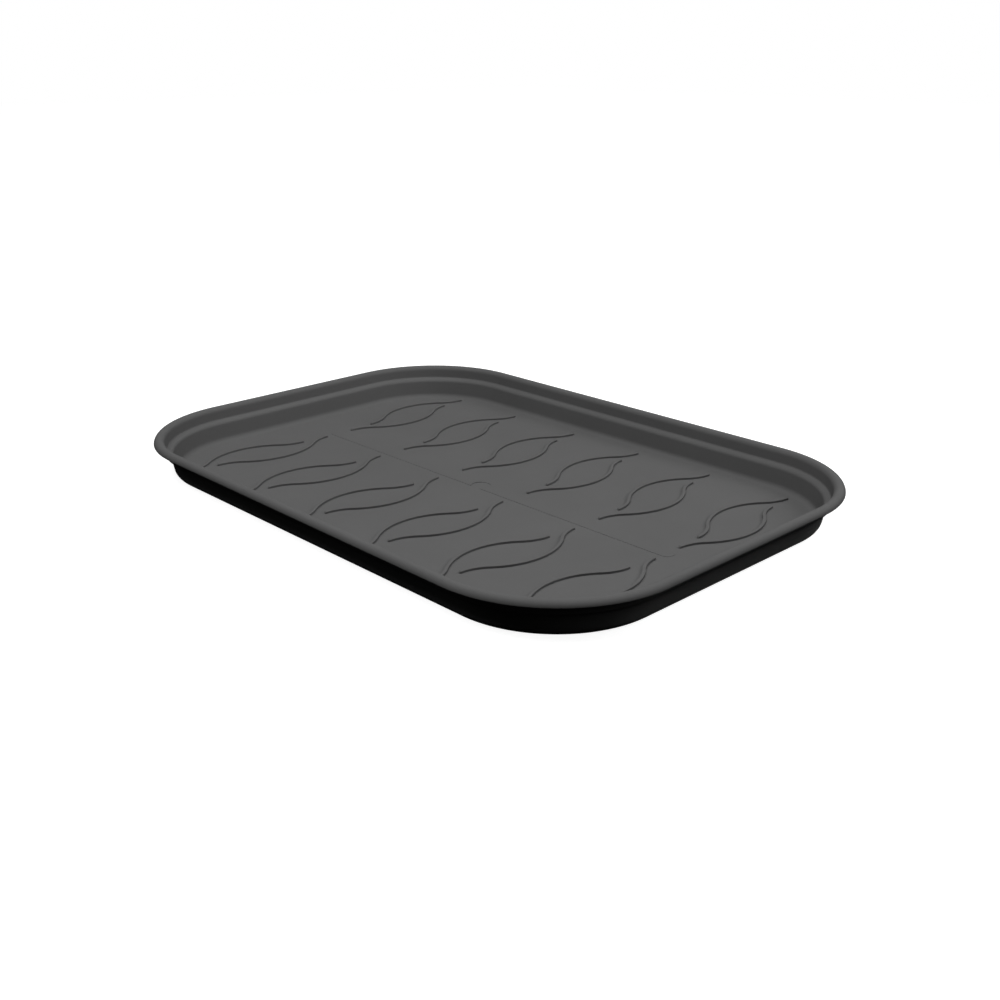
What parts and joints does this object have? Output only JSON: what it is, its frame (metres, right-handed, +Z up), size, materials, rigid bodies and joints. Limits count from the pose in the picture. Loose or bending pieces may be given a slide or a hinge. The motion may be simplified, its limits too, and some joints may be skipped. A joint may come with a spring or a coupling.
{
  "type": "grow tray saucer",
  "caption": "Shallow rounded drip tray of dark grey plastic, with a rolled rim, a stepped wall and curved ribs on its floor, to stand pots or a grow tray in.",
  "frame": {"origin": "middle of the flat underside that the tray stands on", "axes": "+X along the tray, +Y across it, +Z up out of its open side"},
  "size_m": [0.51, 0.362, 0.0307],
  "materials": {
    "saucer": "satin, moulded, with a very fine grain"
  },
  "bodies": {
    "root": {"saucer": "saucer"}
  },
  "joints": []
}
